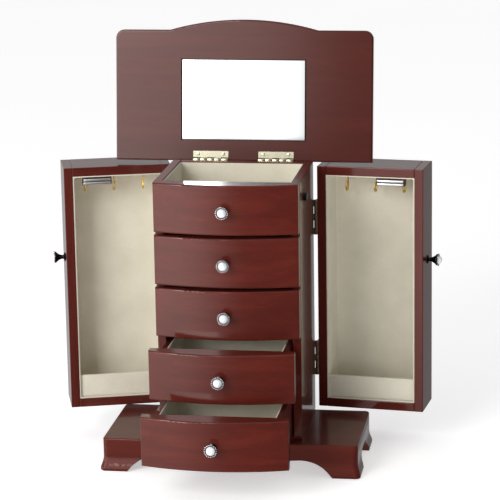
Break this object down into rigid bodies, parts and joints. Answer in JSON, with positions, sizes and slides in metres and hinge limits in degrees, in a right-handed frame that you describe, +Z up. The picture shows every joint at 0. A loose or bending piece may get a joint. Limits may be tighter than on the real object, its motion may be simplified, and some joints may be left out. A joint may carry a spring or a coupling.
{
  "type": "jewellery chest",
  "caption": "Upright bow-front jewellery chest: lidded top tray with mirror, drawers with jewelled knobs and two hinged side wings with necklace hooks, on bracket feet.",
  "frame": {"origin": "on the ground, under the middle of the cabinet carcass", "axes": "+Z up, fronts face -Y, +X to the right when facing the fronts"},
  "size_m": [0.4215, 0.2947, 0.4551],
  "materials": {
    "mahogany": "red mahogany stain under satin lacquer",
    "mirror": "silvered glass",
    "lining_fabric": "beige brushed lining fabric on board",
    "brass": "pale polished brass plate",
    "knob_silver": "polished silver plate with a clear pearly stone",
    "catch_plastic": "brown moulded plastic",
    "catch_steel": "bright zinc-plated steel"
  },
  "bodies": {
    "cabinet": {"base_top_board": "mahogany", "base_front_apron": "mahogany", "base_back_apron": "mahogany", "base_left_apron": "mahogany", "base_right_apron": "mahogany", "cabinet_side_left": "mahogany", "cabinet_side_right": "mahogany", "cabinet_back": "mahogany", "cabinet_rear_rail": "mahogany", "shelves": "mahogany", "top_tray_lining": "lining_fabric", "false_front": "mahogany", "false_front_knob": "knob_silver", "strike_discs": "catch_steel", "cabinet_hinge_leaves": "brass", "hinge_pins": "brass"},
    "lid": {"lid_board": "mahogany", "lid_mirror": "mirror", "lid_hinge_leaves": "brass"},
    "left_wing": {"left_wing_outer_board": "mahogany", "left_wing_hinge_board": "mahogany", "left_wing_top_board": "mahogany", "left_wing_bottom_board": "mahogany", "left_wing_back_panel": "mahogany", "left_wing_lining": "lining_fabric", "left_wing_pocket": "lining_fabric", "left_wing_hooks": "brass", "left_wing_catch_housing": "catch_plastic", "left_wing_catch_plates": "catch_steel", "left_wing_knob": "knob_silver", "left_wing_hinge_leaves": "brass"},
    "right_wing": {"right_wing_outer_board": "mahogany", "right_wing_hinge_board": "mahogany", "right_wing_top_board": "mahogany", "right_wing_bottom_board": "mahogany", "right_wing_back_panel": "mahogany", "right_wing_lining": "lining_fabric", "right_wing_pocket": "lining_fabric", "right_wing_hooks": "brass", "right_wing_catch_housing": "catch_plastic", "right_wing_catch_plates": "catch_steel", "right_wing_knob": "knob_silver", "right_wing_hinge_leaves": "brass"},
    "drawer_2": {"drawer_2_front": "mahogany", "drawer_2_box": "mahogany", "drawer_2_lining": "lining_fabric", "drawer_2_knob": "knob_silver"},
    "drawer_3": {"drawer_3_front": "mahogany", "drawer_3_box": "mahogany", "drawer_3_lining": "lining_fabric", "drawer_3_knob": "knob_silver"},
    "drawer_4": {"drawer_4_front": "mahogany", "drawer_4_box": "mahogany", "drawer_4_lining": "lining_fabric", "drawer_4_knob": "knob_silver"},
    "drawer_5": {"drawer_5_front": "mahogany", "drawer_5_box": "mahogany", "drawer_5_lining": "lining_fabric", "drawer_5_knob": "knob_silver"}
  },
  "joints": [
    {"name": "lid_hinge", "type": "hinge", "parent": "cabinet", "child": "lid", "pos_m": [0, 0.0577, 0.3082], "axis": [1, 0, 0], "range_deg": [0, 97]},
    {"name": "left_wing_hinge", "type": "hinge", "parent": "cabinet", "child": "left_wing", "pos_m": [-0.0772, 0.0565, 0.17], "axis": [0, 0, -1], "range_deg": [-73, 47]},
    {"name": "right_wing_hinge", "type": "hinge", "parent": "cabinet", "child": "right_wing", "pos_m": [0.0772, 0.0565, 0.17], "axis": [0, 0, 1], "range_deg": [-83.4, 36.6]},
    {"name": "drawer_2_slide", "type": "slide", "parent": "cabinet", "child": "drawer_2", "axis": [0, -1, 0], "range_m": [0, 0.095]},
    {"name": "drawer_3_slide", "type": "slide", "parent": "cabinet", "child": "drawer_3", "axis": [0, -1, 0], "range_m": [0, 0.095]},
    {"name": "drawer_4_slide", "type": "slide", "parent": "cabinet", "child": "drawer_4", "axis": [0, -1, 0], "range_m": [-0.044, 0.051]},
    {"name": "drawer_5_slide", "type": "slide", "parent": "cabinet", "child": "drawer_5", "axis": [0, -1, 0], "range_m": [-0.093, 0.002]}
  ]
}
